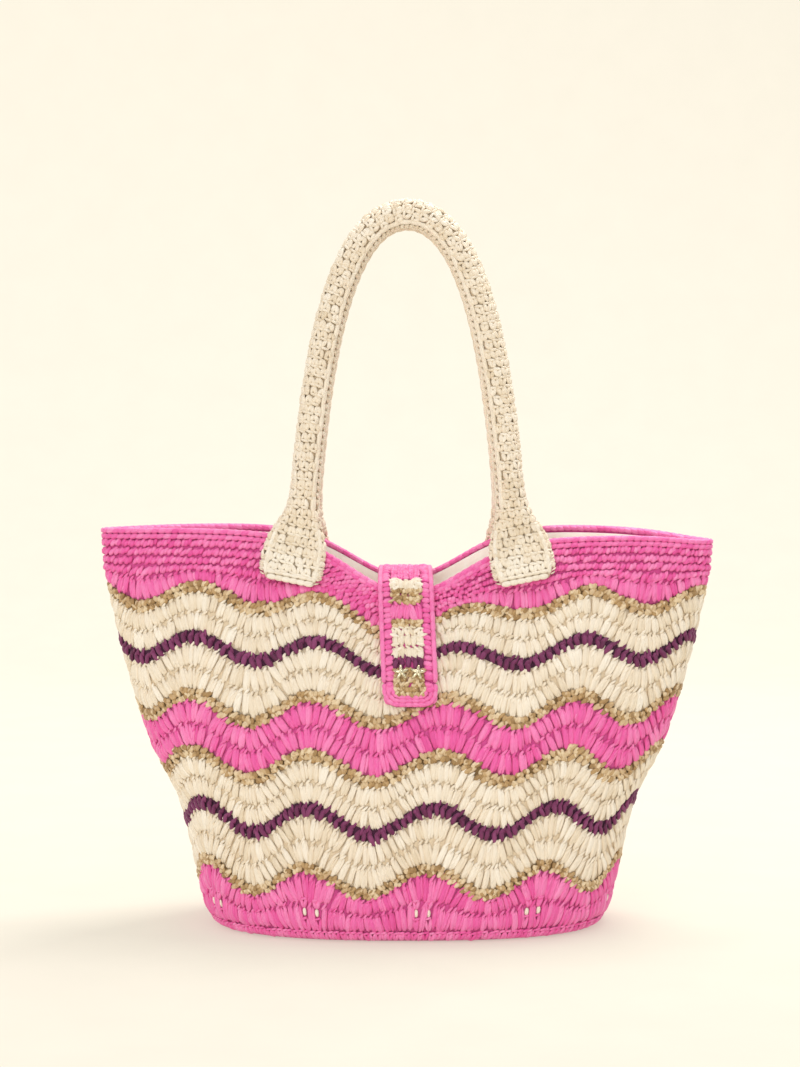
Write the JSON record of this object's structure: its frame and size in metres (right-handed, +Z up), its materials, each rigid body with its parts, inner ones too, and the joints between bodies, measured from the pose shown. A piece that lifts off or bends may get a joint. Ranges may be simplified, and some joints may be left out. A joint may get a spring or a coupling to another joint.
{
  "type": "beach bag",
  "caption": "Crocheted raffia beach tote with wavy coloured stripes, a wide flat mouth over an oval base, a fabric lining, twin rope handles and a snap closure tab.",
  "frame": {"origin": "centre of the bag's footprint, on the surface it stands on", "axes": "+Z up to the top of the handles, front with the closure tab facing -Y, +X to the right seen from the front"},
  "size_m": [0.5023, 0.1998, 0.594],
  "materials": {
    "pink_raffia": "woven, satin",
    "tan_raffia": "woven, satin",
    "cream_raffia": "woven, satin",
    "plum_raffia": "woven, satin",
    "lining_cloth": "plain woven, matt",
    "board": "matt",
    "rope": "twisted cotton",
    "pale_metal": "polished pale gold plate"
  },
  "bodies": {
    "bag": {"base_panel": "pink_raffia", "base_band": "pink_raffia", "tan_round_1": "tan_raffia", "cream_band_1": "cream_raffia", "plum_round_1": "plum_raffia", "cream_band_2": "cream_raffia", "tan_round_2": "tan_raffia", "middle_band": "pink_raffia", "tan_round_3": "tan_raffia", "cream_band_3": "cream_raffia", "plum_round_2": "plum_raffia", "cream_band_4": "cream_raffia", "tan_round_4": "tan_raffia", "top_band": "pink_raffia", "rim_edging": "pink_raffia", "base_board": "board", "lining_floor": "lining_cloth", "lining_wall": "lining_cloth", "lining_hem": "lining_cloth", "front_left_pad": "cream_raffia", "front_right_pad": "cream_raffia", "rear_left_pad": "cream_raffia", "rear_right_pad": "cream_raffia", "pad_stitches": "tan_raffia", "tab_sewn_end": "pink_raffia", "wall_snap_half": "pale_metal", "wall_snap_washer": "pale_metal"},
    "front_handle": {"front_handle_cover": "cream_raffia", "front_handle_rope": "rope"},
    "rear_handle": {"rear_handle_cover": "cream_raffia", "rear_handle_rope": "rope"},
    "tab_strap": {"tab_bridge": "pink_raffia"},
    "tab_end": {"tab_flap": "cream_raffia", "tab_flap_edging": "pink_raffia", "tab_studs": "pale_metal", "tab_snap_half": "pale_metal"}
  },
  "joints": [
    {"name": "front_handle_swing", "type": "hinge", "parent": "bag", "child": "front_handle", "pos_m": [0, -0.0356, 0.338], "axis": [1, 0, 0], "range_deg": [0, 120]},
    {"name": "rear_handle_swing", "type": "hinge", "parent": "bag", "child": "rear_handle", "pos_m": [0, 0.0356, 0.338], "axis": [-1, 0, 0], "range_deg": [0, 120]},
    {"name": "tab_lift", "type": "hinge", "parent": "bag", "child": "tab_strap", "pos_m": [0, 0.04952, 0.28909], "axis": [-1, 0, 0], "range_deg": [0, 190]},
    {"name": "tab_fold", "type": "hinge", "parent": "tab_strap", "child": "tab_end", "pos_m": [0, -0.05172, 0.2822], "axis": [-1, 0, 0], "range_deg": [0, 75]}
  ]
}
